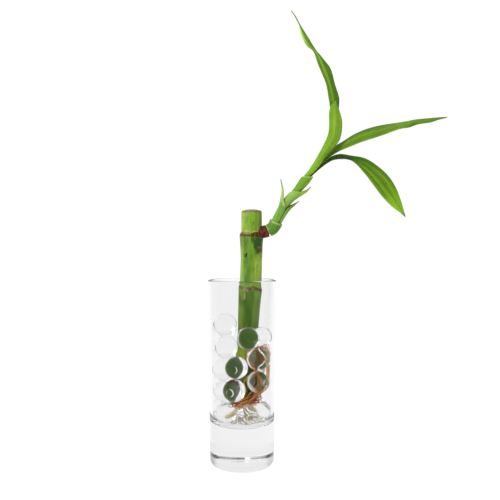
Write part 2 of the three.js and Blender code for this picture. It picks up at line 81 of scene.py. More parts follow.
# facing: degrees from the shoot's upper left over its front; spread: half of the wrapped angle;
# slant: how much higher the free end is away from the upper left.
SHEATHS = [
    {
        "name": "sheath_cup", "facing": 10,
        "line": [(19.8, 8.3, 170), (22.5, 7.9, 171.4), (24.5, 7.5, 173.9), (25.6, 7.1, 176.4)],
        "radius": [4.5, 4.6, 4.6, 4.9], "spread": [168, 168, 168, 168],
    },
    {
        "name": "sheath_left", "facing": 14,
        "line": [
            (25, 7.3, 175.6), (28.6, 6.3, 182.4), (31, 5.5, 187.2), (31.7, 5, 193),
            (31.4, 4.6, 200), (29.2, 4.4, 208.2),
        ],
        "radius": [3.4, 3.5, 3.7, 3.2, 1.7, 0.5], "spread": [105, 105, 100, 62, 55, 40],
    },
    {
        "name": "sheath_right", "facing": 194,
        "line": [
            (25.3, 7.3, 175.4), (29.2, 6.3, 182.1), (33, 5.2, 187.1), (37.8, 4.7, 190.2),
            (42.4, 4.5, 192.2),
        ],
        "radius": [3.4, 3.5, 3.3, 2.3, 0.5], "spread": [68, 75, 82, 62, 40],
    },
    {
        "name": "sheath_upper", "facing": 176,
        "line": [
            (31, 5.6, 187.4), (34.4, 4.9, 192.3), (38.2, 4.3, 196.4), (42.6, 4.1, 199.1),
            (46.8, 4, 201), (50.6, 4, 202.8),
        ],
        "radius": [2.55, 3.15, 3.8, 3.7, 3, 0.9], "spread": [165, 165, 130, 72, 58, 45],
    },
    {
        "name": "sheath_top", "facing": 184, "slant": 2.4,
        "line": [(38, 4.4, 196.6), (41.6, 3.8, 200.6), (45.8, 3.1, 205.7), (48.6, 2.6, 209.6)],
        "radius": [2.2, 2.7, 3.4, 3.4], "spread": [165, 165, 165, 165],
    },
]

# The two margins of each leaf, from the base to the tip, and the sag of its middle. The left
# margin of the drooping leaf starts a millimetre further up and left than on its solid.
LEAVES = {
    "leaf_young": {
        "sag": 0.1,
        "left": [
            (45.1, 1.6, 208.6), (50.4, 0.5, 216.2), (55.4, -0.9, 224.1), (60.1, -1.4, 232.9),
            (63, -1.2, 240), (64, -0.4, 247.3), (64.3, 0.6, 254.2), (64.8, 1.6, 259.3),
            (66.4, 2.6, 263.1), (69.3, 4, 266.1),
        ],
        "right": [
            (47.1, 1.6, 207), (56.4, 0.7, 216.4), (62.1, 0.6, 224.3), (67.6, 1.2, 230.7),
            (72.1, 2.6, 236.5), (74.3, 4.2, 243.2), (74.7, 5.2, 250.1), (73.6, 5.6, 255.8),
            (72.2, 5.4, 260.9), (69.9, 4.4, 266),
        ],
    },
    "leaf_tall": {
        "sag": 0.1,
        "left": [
            (44.7, 2.6, 208.9), (50.3, 1.9, 215.6), (55.4, 1, 223.6), (61, 1, 232.5),
            (64.2, 1.5, 242.6), (64.9, 2.7, 253.2), (65.5, 3.9, 262), (63.9, 5.2, 272.5),
            (61.6, 6.4, 282.8), (56.8, 8.2, 295.9), (53.3, 10, 305.3), (48.5, 12, 311.1),
            (44.9, 13.5, 319.3), (43.2, 14.5, 327.2), (40.6, 15.2, 332.8), (37.3, 16, 338.6),
        ],
        "right": [
            (47.1, 2.7, 207), (55.4, 2.7, 215.6), (61, 3.2, 224), (66.6, 4, 231.4),
            (70.8, 5.4, 238.6), (73.2, 7.6, 249.4), (72.8, 8.5, 261.8), (72.8, 9.4, 270.6),
            (70, 10, 281.6), (66.4, 10.4, 292.6), (61.4, 10.8, 300), (55.9, 11.2, 306.7),
            (49.8, 12.6, 317.4), (44.4, 14, 327), (41.5, 15, 333), (37.8, 16, 338.8),
        ],
    },
    "leaf_right": {
        "sag": 0.14,
        "left": [
            (44.8, 3.6, 208.8), (55.4, 5.4, 218.6), (62, 7.6, 226), (68.4, 9.8, 232.6),
            (76.1, 11.8, 237.4), (84.6, 13.4, 243.3), (94.4, 14.8, 247.5), (107.5, 16.4, 251.1),
            (120.7, 18, 253.7), (128.9, 18.6, 254.9), (135.4, 18.4, 256.1), (145, 19.2, 257.3),
            (152.4, 20.6, 258), (159.1, 22, 258.8),
        ],
        "right": [
            (47.1, 3.7, 207), (57.4, 4.7, 217), (64.7, 4.8, 223.8), (71.7, 5.2, 228.4),
            (78.7, 5.8, 231.8), (86.4, 6.8, 234.8), (95, 8.2, 238), (107.2, 10.2, 242.5),
            (119.6, 12.6, 247), (127.3, 14.2, 248.7), (134.4, 16.2, 251.6), (145.2, 17.6, 253.4),
            (152.4, 19.6, 256.1), (159.3, 22, 258.3),
        ],
    },
    "leaf_drooping": {
        "sag": 0.12,
        "left": [
            (47.2, 2.15, 206.9), (57.9, 1.6, 218.4), (65.1, -1.8, 223.5), (71.8, -6, 224.9),
            (79.3, -9, 223.6), (88.3, -11, 220.9), (97, -12, 215.4), (104.2, -13, 208.4),
            (109.5, -14, 199.8), (112.5, -15.5, 191.1), (114.3, -17, 183.2), (115.3, -18, 178.9),
        ],
        "right": [
            (47.8, 4, 206.5), (59.8, 3.8, 217.2), (67.5, 3.9, 222), (74, 2.3, 223),
            (79.1, -0.5, 221.4), (84, -4, 217.2), (89.4, -7.5, 209.8), (94.9, -10.5, 201.1),
            (101.1, -13, 192.2), (106.9, -15, 185.6), (112.1, -17, 181.4), (115, -18, 178.6),
        ],
    },
}
LEAF_COLUMNS, LEAF_ROWS_PER_POINT = 20, 10
LEAF_MIDDLE, LEAF_EDGE = 0.55, 0.16  # thickness at the middle of a leaf and at its margin

# A way from the cane forward over the marble at mid height and down its right side.
FRONT_LOOP = [
    (4, 0, 84), (3.3, -14.5, 81), (6.6, -16, 74), (10, -17.3, 68.7), (12.3, -17.6, 62.6),
    (11.4, -17.6, 58), (5.2, -17, 53.6), (1, -12, 46),
]
# Routes of the roots, from the cane to the crown under its foot: strands, radius, how far they
# stray, shade from 0 to 1, and way.
ORANGE_ROUTES = [
    (13, 0.42, 0.9, 0.8, [(13.5, 8, 83), (18, 3, 80), (19.2, -3, 72), (18.4, -5.5, 64),
                          (17, -6.5, 57), (13, -6, 52), (7, 0, 47)]),
    (3, 0.24, 1.6, 0.8, [(13.5, 6, 85), (19, 0, 83), (20, -4, 74), (18.6, -8, 64),
                         (15.5, -11, 55), (9, -14, 49.5), (4, -9, 45)]),
    (4, 0.3, 1.4, 1.05, [(13, 3, 84), (13.5, 7, 79), (12.8, 8, 73.6), (12.6, 7, 65),
                         (12.2, 6, 57), (10, 2, 50)]),
    (1, 0.42, 0.2, 0.5, FRONT_LOOP),
    (2, 0.2, 1.3, 0.7, FRONT_LOOP),
    (1, 0.4, 0.2, 0.6, [(13, 2, 87), (14.4, -10, 87), (14.2, -14.5, 85.3), (9.8, -17.5, 79.6),
                        (9.4, -17.8, 71.8), (10.8, -17.6, 67.6), (13.4, -17, 60), (9, -14, 50)]),
    (2, 0.3, 0.9, 0.7, [(3, 0, 84.5), (3.3, -13, 83), (8, -15.5, 85.5), (12.9, -14, 86.5),
                        (17, -11, 84.5), (19.6, -6, 80), (19.4, -3, 72), (18, -6, 60)]),
    (5, 0.17, 1.8, 0.85, [(12, 0, 86), (16, -10, 87), (18, -9, 84), (17, -13, 78), (18, -10, 70),
                          (15, -12, 58), (8, -15, 50)]),
    (1, 0.42, 0.2, 0.6, [(4, -4, 63.5), (2.5, -14, 63.4), (1.4, -18, 62.4), (3.3, -17.5, 57.2),
                         (1.4, -17.5, 52), (0, -12, 46)]),
    (5, 0.28, 2.6, 0.7, [(13, 8, 84), (17, 5, 77), (16, 4, 67), (14, 3, 57), (8, 0, 47)]),
    (12, 0.42, 2.4, 0.15, [(10, 8, 52), (13, 1, 49), (10, -9, 48), (1, -14, 47), (-6, -10, 45),
                           (-3, 1, 44)]),
    (12, 0.42, 2.4, 0.2, [(-3, 4, 49), (-5, -3, 47), (-2, -11, 47), (7, -13, 48), (12, -6, 47),
                          (6, 2, 44)]),
    (12, 0.17, 2.8, 0.8, [(12, -4, 50), (8, -14, 50), (3, -17, 48), (-4, -15, 45), (3, -12, 43),
                          (9, -10, 46)]),
    (5, 0.3, 2.6, 0.2, [(11, -5, 52), (8, -14, 51), (3, -16, 48), (-7, -14, 46), (-7, -9, 44)]),
]
PALE_ROUTES = [
    (2, 0.32, 1.2, 0.8, [(2, -2, 37), (3, -6, 31.5), (10, -14, 31), (14, -13, 32)]),
    (3, 0.32, 1.2, 0.5, [(-1, -3, 37), (-3, -8, 33), (-4, -15.5, 31.5), (-9, -15.5, 31)]),
    (2, 0.32, 1.6, 0.8, [(4, -3, 38), (7, -3, 33), (13, -9, 32), (17, -8, 34)]),
    (2, 0.32, 1.6, 0.8, [(-3, 0, 37), (-3, 4, 32), (2, 9, 30.5), (7, 13, 31)]),
    (1, 0.9, 0.3, 0.7, [(0, -12, 43), (-4, -15, 42), (-8, -17, 39.5), (-12, -15, 37)]),
]
ORANGE_CROWN = {"centre": (3, 6, 43.8), "size": (5, 7, 2.6), "strands": 40, "shade": 0.2}
PALE_CROWN = {"centre": (0, -1, 38.2), "size": (2.2, 2.2, 2.2), "strands": 14, "shade": 0.4}
ROOT_STEP = 1.4  # length of a strand between two rings of its points
ROOT_SIDES = 8


# ---------------- curves and numbers
ARC_STEPS = 16
TANGENT_STEP = 0.0005


def mix(a, b, share):
    return a + (b - a) * share


def clamp(value, low=0.0, high=1.0):
    return min(max(value, low), high)


def smoothstep(low, high, value):
    share = clamp((value - low) / (high - low))
    return share * share * (3 - 2 * share)


def smooth_line(points):
    """A centripetal Catmull-Rom curve through the points, as a function of 0 to 1."""
    points = [Vector(p) for p in points]
    last = len(points) - 1

    def at(place):
        step = clamp(place) * last
        index = min(int(step), last - 1)
        t = step - index
        p1, p2 = points[index], points[index + 1]
        p0 = points[index - 1] if index > 0 else 2 * p1 - p2
        p3 = points[index + 2] if index + 2 <= last else 2 * p2 - p1
        d0, d1, d2 = [max(1e-4, (b - a).length ** 0.5) for a, b in ((p0, p1), (p1, p2), (p2, p3))]
        t1 = ((p1 - p0) / d0 - (p2 - p0) / (d0 + d1) + (p2 - p1) / d1) * d1
        t2 = ((p2 - p1) / d1 - (p3 - p1) / (d1 + d2) + (p3 - p2) / d2) * d1
        c2 = 3 * (p2 - p1) - 2 * t1 - t2
        c3 = 2 * (p1 - p2) + t1 + t2
        return p1 + t1 * t + c2 * t * t + c3 * t * t * t

    return at


def tangent(line, place):
    inner = clamp(place, 2 * TANGENT_STEP, 1 - 2 * TANGENT_STEP)
    return (line(inner + TANGENT_STEP) - line(inner - TANGENT_STEP)).normalized()


def along(values, place):
    """The value at a place from 0 to 1 in a list of evenly spaced values."""
    step = clamp(place) * (len(values) - 1)
    index = min(int(step), len(values) - 2)
    return mix(values[index], values[index + 1], step - index)


def table(pairs, key):
    """Looks up a value in (value, key) pairs by straight lines between them."""
    for (v0, k0), (v1, k1) in zip(pairs, pairs[1:]):
        if key <= k1:
            return mix(v0, v1, (key - k0) / (k1 - k0))
    return pairs[-1][0]


def arc(centre_r, centre_z, radius, start, stop):
    """Points of an arc in an outline of (radius, height), between two angles in degrees."""
    points = []
    for i in range(ARC_STEPS + 1):
        angle = math.radians(mix(start, stop, i / ARC_STEPS))
        points.append((centre_r + radius * math.cos(angle), centre_z + radius * math.sin(angle)))
    return points


# ---------------- meshes
def mesh_piece(name, points, faces, material, attributes=None, smooth=True):
    """A mesh object from points in millimetres, with one float attribute for each given list."""
    data = bpy.data.meshes.new(name)
    data.from_pydata([Vector(p) * MM for p in points], [], faces)
    data.validate()
    for key, values in (attributes or {}).items():
        layer = data.attributes.new(key, "FLOAT", "POINT")
        layer.data.foreach_set("value", values)
    data.polygons.foreach_set("use_smooth", [smooth] * len(data.polygons))
    data.materials.append(material)
    piece = bpy.data.objects.new(name, data)
    scene.collection.objects.link(piece)
    return piece


def dress(piece, node):
    """The piece rides with the part and stands for this CAD node."""
    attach(piece, "root")
    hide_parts(node)


def rod_faces(rings, sides, start, first_end, last_end):
    """Faces between rings of points numbered from start, and from the outer rings to the ends."""
    faces = []
    for i in range(rings - 1):
        for k in range(sides):
            a, b = start + i * sides + k, start + i * sides + (k + 1) % sides
            faces.append((a, b, b + sides, a + sides))
    top = start + (rings - 1) * sides
    for k in range(sides):
        faces.append((first_end, start + (k + 1) % sides, start + k))
        faces.append((last_end, top + k, top + (k + 1) % sides))
    return faces


def lathe(outline, sides):
    """Points and faces of an outline of (radius, height) turned about Z. Its ends are on the axis."""
    points = [(0, 0, outline[0][1])]
    for radius, height in outline[1:-1]:
        for k in range(sides):
            turn = 2 * math.pi * k / sides
            points.append((radius * math.cos(turn), radius * math.sin(turn), height))
    points.append((0, 0, outline[-1][1]))
    return points, rod_faces(len(outline) - 2, sides, 1, 0, len(points) - 1)


def tube(centres, radii, sides, start=0):
    """Points and faces of a closed round rod along its centres, with points numbered from start."""
    points = []
    side = Vector((0, 1, 0))
    if abs((centres[1] - centres[0]).normalized().y) > 0.9:
        side = Vector((1, 0, 0))
    last = len(centres) - 1
    for i, centre in enumerate(centres):
        ahead = (centres[min(i + 1, last)] - centres[max(i - 1, 0)]).normalized()
        side = (side - ahead * side.dot(ahead)).normalized()
        other = ahead.cross(side)
        for k in range(sides):
            turn = 2 * math.pi * k / sides
            points.append(centre + radii[i] * (side * math.cos(turn) + other * math.sin(turn)))
    end = start + len(points)
    points += [centres[0], centres[-1]]
    return points, rod_faces(len(centres), sides, start, end, end + 1)


def sheet(rows, thickness):
    """Points, faces and places of a thin sheet over a grid, with a thickness for each column."""
    last, end = len(rows) - 1, len(rows[0]) - 1
    points, lengthwise, across = [], [], []
    for side in (0.5, -0.5):
        for i, row in enumerate(rows):
            for j, point in enumerate(row):
                ahead = rows[min(i + 1, last)][j] - rows[max(i - 1, 0)][j]
                sideways = row[min(j + 1, end)] - row[max(j - 1, 0)]
                normal = sideways.cross(ahead).normalized()
                points.append(point + normal * side * thickness[j])
                lengthwise.append(i / last)
                across.append(j / end)
    faces = []

    def front(i, j):
        return i * (end + 1) + j

    def back(i, j):
        return front(last + 1 + i, j)

    for i in range(last):
        for j in range(end):
            faces.append((front(i, j), front(i, j + 1), front(i + 1, j + 1), front(i + 1, j)))
            faces.append((back(i, j), back(i + 1, j), back(i + 1, j + 1), back(i, j + 1)))
        faces.append((front(i, 0), front(i + 1, 0), back(i + 1, 0), back(i, 0)))
        faces.append((front(i, end), back(i, end), back(i + 1, end), front(i + 1, end)))
    for j in range(end):
        faces.append((front(0, j), back(0, j), back(0, j + 1), front(0, j + 1)))
        faces.append((front(last, j), front(last, j + 1), back(last, j + 1), back(last, j)))
    return points, faces, {"lengthwise": lengthwise, "across": across}


# ---------------- node materials
# The sockets of a Mix node that hold its share and its colours, and the one of its result.
MIX_SHARE, MIX_FIRST, MIX_SECOND, MIX_RESULT = 0, 6, 7, 2
SKIN_DEPTH = 0.001  # how far light strays under the skin of a leaf or a root, in metres


class Nodes:
    """Short calls for the nodes of one tree."""

    def __init__(self, tree):
        self.tree = tree

    def feed(self, socket, value):
        """Links another node's output to a socket, or sets the socket. Colours get their alpha."""
        if isinstance(value, bpy.types.NodeSocket):
            self.tree.links.new(value, socket)
        elif socket.type == "RGBA":
            socket.default_value = (*value, 1)
        else:
            socket.default_value = value

    def node(self, kind, inputs=None, **settings):
        made = self.tree.nodes.new("ShaderNode" + kind)
        for key, value in settings.items():
            setattr(made, key, value)
        for key, value in (inputs or {}).items():
            self.feed(made.inputs[key], value)
        return made

    def math(self, operation, a, b=0.0, c=0.0):
        return self.node("Math", {0: a, 1: b, 2: c}, operation=operation).outputs["Value"]

    def band(self, value, low, high, first=0, last=1):
        """Smoothly from the first number at low to the last at high."""
        inputs = {"Value": value, "From Min": low, "From Max": high, "To Min": first, "To Max": last}
        return self.node("MapRange", inputs, interpolation_type="SMOOTHSTEP").outputs["Result"]


class Paint(Nodes):
    """One material with its nodes."""

    def __init__(self, name):
        self.material = bpy.data.materials.new(name)
        self.material.use_nodes = True
        super().__init__(self.material.node_tree)

    def coat(self, **values):
        """Feeds the shader's sockets, named with _ for spaces, and gives the finished material."""
        shader = self.tree.nodes["Principled BSDF"]
        for key, value in values.items():
            self.feed(shader.inputs[key.replace("_", " ")], value)
        return self.material

    def attribute(self, name):
        return self.node("Attribute", attribute_name=name).outputs["Fac"]

    def noise(self, scale, stretch=(1, 1, 1), detail=3.0, rough=0.55, vector=None):
        """Noise over a vector, or over the object's coordinates, scaled along each axis."""
        if vector is None:
            where = self.node("TexCoord").outputs["Object"]
            vector = self.node("Mapping", {"Vector": where, "Scale": stretch}).outputs["Vector"]
        inputs = {"Vector": vector, "Scale": scale, "Detail": detail, "Roughness": rough}
        return self.node("TexNoise", inputs).outputs["Fac"]

    def window(self, value, low, high, soft):
        """1 between low and high and 0 beyond them, with soft edges."""
        rise = self.band(value, low - soft, low + soft)
        return self.math("MULTIPLY", rise, self.band(value, high + soft, high - soft))

    def wander(self, value, amount, grain):
        """A value that strays by up to about half of the amount."""
        return self.math("ADD", value, self.math("MULTIPLY_ADD", grain, amount, -amount / 2))

    def ramp(self, value, stops):
        made = self.node("ValToRGB", {"Fac": value})
        elements = made.color_ramp.elements
        while len(elements) < len(stops):
            elements.new(0.5)
        for element, (place, colour) in zip(elements, stops):
            element.position = place
            element.color = (*colour, 1)
        return made.outputs["Color"]

    def blend(self, share, first, second):
        """From the first colour at a share of 0 to the second at 1."""
        inputs = {MIX_SHARE: share, MIX_FIRST: first, MIX_SECOND: second}
        return self.node("Mix", inputs, data_type="RGBA").outputs[MIX_RESULT]

    def tint(self, base, share, strength, colour):
        """The base, with a colour laid over it as strongly as the share times the strength."""
        return self.blend(self.math("MULTIPLY", share, strength), base, colour)

    def bump(self, height, strength, distance):
        inputs = {"Height": height, "Strength": strength, "Distance": distance}
        return self.node("Bump", inputs).outputs["Normal"]


def glass(name, ior, clarity, shine, tint, density):
    """Clear glass. Clarity is the share of light that a surface lets through, shine from 0 to 1 is
    the strength of its reflections, and tint and density are those of the glass inside."""
    paint = Paint(name)
    inside = paint.node("VolumeAbsorption", {"Color": tint, "Density": density})
    paint.feed(paint.tree.nodes["Material Output"].inputs["Volume"], inside.outputs["Volume"])
    return paint.coat(Base_Color=(clarity,) * 3, Roughness=0.0, IOR=ior,
                      Transmission_Weight=1.0, Specular_Tint=(shine,) * 3)


VEINS_ALONG = 2.5  # how often the veins change over the length of a blade
LIGHT_VEIN, DARK_VEIN, PALE_MARGIN = (0.48, 0.66, 0.12), (0.05, 0.15, 0.006), (0.4, 0.52, 0.12)
BLOTCH_DARK, BLOTCH_LIGHT = 0.82, 1.15  # brightness of the blotches, times the tone
FURROW = 0.6  # depth of the furrow along the middle of a blade, times that of the veins


def blade_paint(name, tone, marks, veins_across):
    """A blade or scale with fine parallel veins and marks on places from 0 to 1 over its width
    and its length. A mark is its range across, its range lengthwise, softness, colour, strength."""
    paint = Paint(name)
    length, across = paint.attribute("lengthwise"), paint.attribute("across")
    blotch = paint.noise(70, detail=4)
    base = paint.ramp(blotch, [(0.3, [BLOTCH_DARK * c for c in tone]), (0.5, tone),
                               (0.72, [BLOTCH_LIGHT * c for c in tone])])
    place = paint.node("CombineXYZ", {"X": paint.math("MULTIPLY", across, veins_across),
                                      "Y": paint.math("MULTIPLY", length, VEINS_ALONG)})
    veins = paint.noise(1.0, vector=place.outputs["Vector"], detail=3)
    loose_across = paint.wander(across, 0.08, blotch)
    loose_length = paint.wander(length, 0.05, blotch)
    for (left, right), (start, stop), soft, colour, strength in marks:
        inside = paint.math("MULTIPLY", paint.window(loose_across, left, right, soft),
                            paint.window(loose_length, start, stop, soft))
        base = paint.tint(base, inside, strength, colour)
    base = paint.tint(base, paint.band(veins, 0.52, 0.66), 0.22, LIGHT_VEIN)
    base = paint.tint(base, paint.band(veins, 0.46, 0.33), 0.3, DARK_VEIN)
    off_middle = paint.math("ABSOLUTE", paint.math("SUBTRACT", across, 0.5))
    base = paint.tint(base, paint.band(off_middle, 0.475, 0.495), 0.3, PALE_MARGIN)
    height = paint.math("MULTIPLY_ADD", paint.band(off_middle, 0.04, 0.0), -FURROW, veins)
    return paint.coat(Base_Color=base, Roughness=0.5, Specular_IOR_Level=0.06,
                      Normal=paint.bump(height, 0.35, 0.0003), Subsurface_Weight=0.15,
                      Subsurface_Radius=(0.5, 0.9, 0.12), Subsurface_Scale=SKIN_DEPTH)


# ---------------- vase and marbles
def wall_inside(height):
    rise = (height - VASE["heel_round"]) / (VASE["height"] - VASE["heel_round"])
    return mix(VASE["heel_radius"], VASE["rim_radius"], rise) - VASE["wall"]


def room_inside(height):
    """The largest radius that clears the inside of the vase at a height."""
    above, fillet = height - VASE["floor"], VASE["floor_round"]
    corner = fillet - math.sqrt(fillet**2 - (fillet - above) ** 2) if above < fillet else 0
    return wall_inside(height) * math.cos(math.pi / SOLID_SIDES) - corner - GAP


VASE_GLASS = glass("vase_glass_look", ior=1.5, clarity=0.91, shine=0.1,
                   tint=(0.2, 0.22, 0.2), density=2.8)
MARBLE_GLASS = glass("marble_glass_look", ior=1.34, clarity=0.99, shine=0.15,
                     tint=(0.95, 0.97, 0.95), density=3.0)

# The slightly hollow middle of the underside: radius and height.
UNDERSIDE = [(0, 0.9), (4, 0.8), (8, 0.5), (11, 0.2), (13, 0)]
HOLD_REACH = 0.25
LEAST_STRAIGHT = 10 * HOLD_REACH


def vase_outline():
    """From the middle of the underside round the lip to the middle of the inside floor."""
    heel, lip, fillet = VASE["heel_round"], VASE["wall"] / 2, VASE["floor_round"]
    fillet_top = VASE["floor"] + fillet
    return (
        UNDERSIDE
        + arc(VASE["heel_radius"] - heel, heel, heel, -90, 0)
        + arc(VASE["rim_radius"] - lip, VASE["height"] - lip, lip, 0, 180)
        + arc(wall_inside(fillet_top) - fillet, fillet_top, fillet, 0, -90)
        + [(0, VASE["floor"])]
    )


def hold_straight(outline):
    """Adds a point near both ends of each long straight part, so that shading doesn't bend it."""
    held = []
    for (r0, z0), (r1, z1) in zip(outline, outline[1:]):
        held.append((r0, z0))
        length = math.hypot(r1 - r0, z1 - z0)
        if length > LEAST_STRAIGHT:
            share = HOLD_REACH / length
            held.append((mix(r0, r1, share), mix(z0, z1, share)))
            held.append((mix(r1, r0, share), mix(z1, z0, share)))
    return held + [outline[-1]]


vase_shape = lathe(hold_straight(vase_outline()), VASE_SIDES)
dress(mesh_piece("vase_shell", *vase_shape, VASE_GLASS), "vase")

# Outline of the small wet patch where a marble touches the wall, as radius and share of its
# height, and how far its flat face stands past the marble's pole.
PATCH = [(2.75, 0), (2.65, 0.5), (2.5, 0.9), (2.3, 1), (0, 1)]
PATCH_RISE = -0.1
MARBLE_RINGS, MARBLE_SIDES = 40, 64


def marble_places():
    places = []
    for angle, height, radius in MARBLES:
        reach = room_inside(height) - radius
        turn = math.radians(angle)
        places.append((Vector((reach * math.sin(turn), -reach * math.cos(turn), height)), radius))
    return places


def marble_piece(number, centre, radius):
    """A round marble whose pole points at the wall, with its wet patch on the pole."""
    patch_radius = PATCH[0][0]
    outline = [(0, -radius)]
    for i in range(1, MARBLE_RINGS):
        angle = math.pi * i / MARBLE_RINGS
        if angle < math.pi / 2 or radius * math.sin(angle) > patch_radius:
            outline.append((radius * math.sin(angle), -radius * math.cos(angle)))
    foot = math.sqrt(radius**2 - patch_radius**2)
    for reach, rise in PATCH:
        outline.append((reach, mix(foot, radius + PATCH_RISE, rise)))
    points, faces = lathe(outline, MARBLE_SIDES)
    outward = Vector((centre.x, centre.y, 0)).normalized()
    turn = outward.to_track_quat("Z", "Y")
    points = [centre + turn @ Vector(p) for p in points]
    piece = mesh_piece(f"clear_marble_{number:02d}", points, faces, MARBLE_GLASS)
    dress(piece, f"marble_{number:02d}")


MARBLE_PLACES = marble_places()
for number, (centre, radius) in enumerate(MARBLE_PLACES, 1):
    marble_piece(number, centre, radius)


# ---------------- cane
def cane_centre(height):
    for low, high in zip(CANE_AXIS, CANE_AXIS[1:]):
        if height <= high[2]:
            break
    return Vector(low).lerp(Vector(high), (height - low[2]) / (high[2] - low[2]))


# Marks on the cane's skin, among them painted light and shade, from below upwards: angles round the
# cane from the front towards +X, heights, how soft the ends of both are, colour and strength.
CANE_MARKS = [
    ((-180, 180), (40, 75), (1, 3), (0.06, 0.14, 0.015), 0.9),
    # Painted shade: near-black on the right of the foot, its shadow side.
    ((12, 70), (50, 66), (8, 3), (0.012, 0.03, 0.003), 0.85),
    ((-60, -10), (50, 70), (14, 4), (0.09, 0.2, 0.02), 0.6),
    # Painted light: a bright patch on the front left, where light falls between the marbles.
    ((-180, -8), (74, 84), (10, 1.5), (0.36, 0.5, 0.012), 0.95),
    ((-24, 20), (84, 126), (6, 3), (0.045, 0.13, 0.004), 0.8),
    ((20, 180), (84, 126), (14, 2), (0.2, 0.35, 0.05), 0.8),
    ((-62, -27), (84, 112), (7, 5), (0.2, 0.32, 0.015), 0.75),
    ((-95, -66), (84, 126), (8, 3), (0.06, 0.12, 0.008), 0.75),
    ((-95, -18), (114, 125), (8, 3), (0.05, 0.1, 0.008), 0.65),
    ((-46, -39), (117, 122), (3, 1), (0.3, 0.22, 0.06), 0.6),
    ((-30, -21), (84, 118), (3, 5), (0.02, 0.08, 0.004), 0.5),
    ((-33, -23), (118.5, 123.5), (4, 1), (0.42, 0.3, 0.12), 0.75),
    ((-31, -25), (116.3, 117.9), (2.5, 0.5), (0.004, 0.004, 0.002), 0.95),
    ((-180, 180), (125.2, 127.6), (1, 0.6), (0.1, 0.035, 0.02), 0.9),
    ((-40, -26), (125.2, 126.8), (5, 0.5), (0.42, 0.26, 0.2), 0.8),
    ((-20, -13), (124.4, 125.8), (4, 0.4), (0.5, 0.36, 0.3), 0.8),
    ((6, 16), (125, 126.4), (5, 0.4), (0.4, 0.24, 0.18), 0.6),
    ((-10, 3), (124.8, 126.4), (4, 0.4), (0.12, 0.01, 0.006), 0.9),
    ((-180, -78), (125, 128.2), (5, 0.5), (0.015, 0.006, 0.003), 0.85),
    ((-90, -8), (128.4, 138), (16, 4), (0.12, 0.27, 0.06), 0.5),
    ((-40, 6), (128.4, 158), (10, 5), (0.065, 0.16, 0.013), 0.65),
    ((16, 75), (130, 149), (9, 5), (0.34, 0.5, 0.06), 0.8),
    ((-76, -48), (130, 158), (8, 3), (0.27, 0.42, 0.07), 0.7),
    # Below the shoot's collar: partly the skin's own darker zone, partly painted shadow of the shoot.
    ((-4, 76), (160.5, 166), (7, 2.5), (0.012, 0.06, 0.004), 0.95),
    ((10, 62), (155.5, 162), (7, 2), (0.012, 0.06, 0.004), 0.95),
    ((22, 44), (152.5, 157), (7, 1.6), (0.014, 0.065, 0.005), 0.9),
    ((30, 78), (153.6, 158.2), (5, 0.9), (0.12, 0.03, 0.012), 0.85),
    ((32, 60), (156.6, 157.6), (5, 0.3), (0.3, 0.15, 0.08), 0.6),
    ((-37, -26), (149.9, 151.9), (3, 0.5), (0.001, 0.002, 0.001), 1.0),
    ((-31, -22), (151.2, 153.1), (3, 0.5), (0.001, 0.002, 0.001), 1.0),
    ((-180, -8), (157, 165.6), (14, 4), (0.06, 0.14, 0.015), 0.75),
    ((-180, -74), (128.4, 165.4), (8, 1), (0.06, 0.13, 0.012), 0.6),
    ((76, 180), (128.4, 165.4), (8, 1), (0.1, 0.2, 0.02), 0.6),
    ((-180, 180), (165.9, 168.1), (1, 0.5), (0.1, 0.022, 0.012), 0.95),
    ((-180, 180), (165.4, 166.1), (1, 0.3), (0.02, 0.006, 0.003), 0.8),
    ((-90, -48), (166.6, 168.6), (8, 0.4), (0.26, 0.05, 0.03), 0.8),
    ((-40, -8), (166.9, 168.4), (8, 0.4), (0.3, 0.26, 0.06), 0.6),
    ((6, 50), (165.2, 168.6), (8, 0.4), (0.07, 0.004, 0.003), 0.9),
    ((-34, 30), (168.5, 169.4), (10, 0.4), (0.46, 0.5, 0.14), 0.6),
    # The stub: painted light on its left side and painted shade on its right.
    ((-80, -22), (168.8, 183.4), (9, 1), (0.3, 0.43, 0.055), 0.8),
    ((-22, 12), (168.8, 183.4), (8, 1), (0.17, 0.31, 0.025), 0.6),
    ((42, 180), (168.8, 183.4), (14, 1), (0.13, 0.25, 0.025), 0.7),
    ((5, 15), (174, 176.2), (4, 0.6), (0.05, 0.12, 0.01), 0.6),
    ((-180, 180), (184, 190), (1, 0.25), (0.3, 0.17, 0.13), 0.95),
    ((-180, 180), (183.6, 184.1), (1, 0.2), (0.1, 0.04, 0.02), 0.7),
]


# The two rough scar rings, from the lowest to the highest point of each.
SCAR_RINGS = [(124.6, 128.2), (165, 168.4)]
SCAR_ROUGHNESS = 4.0  # height of the grain on a scar ring, times that of the streaks
# How the rings stray from level: height, how far up and down the skin follows, share of the
# uneven part, and how far the ring falls towards +X.
SCAR_WAVES = [(126.5, 4, 1.0, 1.1), (167, 3, 0.6, 0.0)]
WAVE_HEIGHT = 1.3
SKIN_RELIEF = 0.15  # how far the skin stands in and out of the cane's round
# How fast the two change round the cane and up it.
WAVE_CHANGE, RELIEF_CHANGE = (2.2, 0.02), (1.5, 0.05)


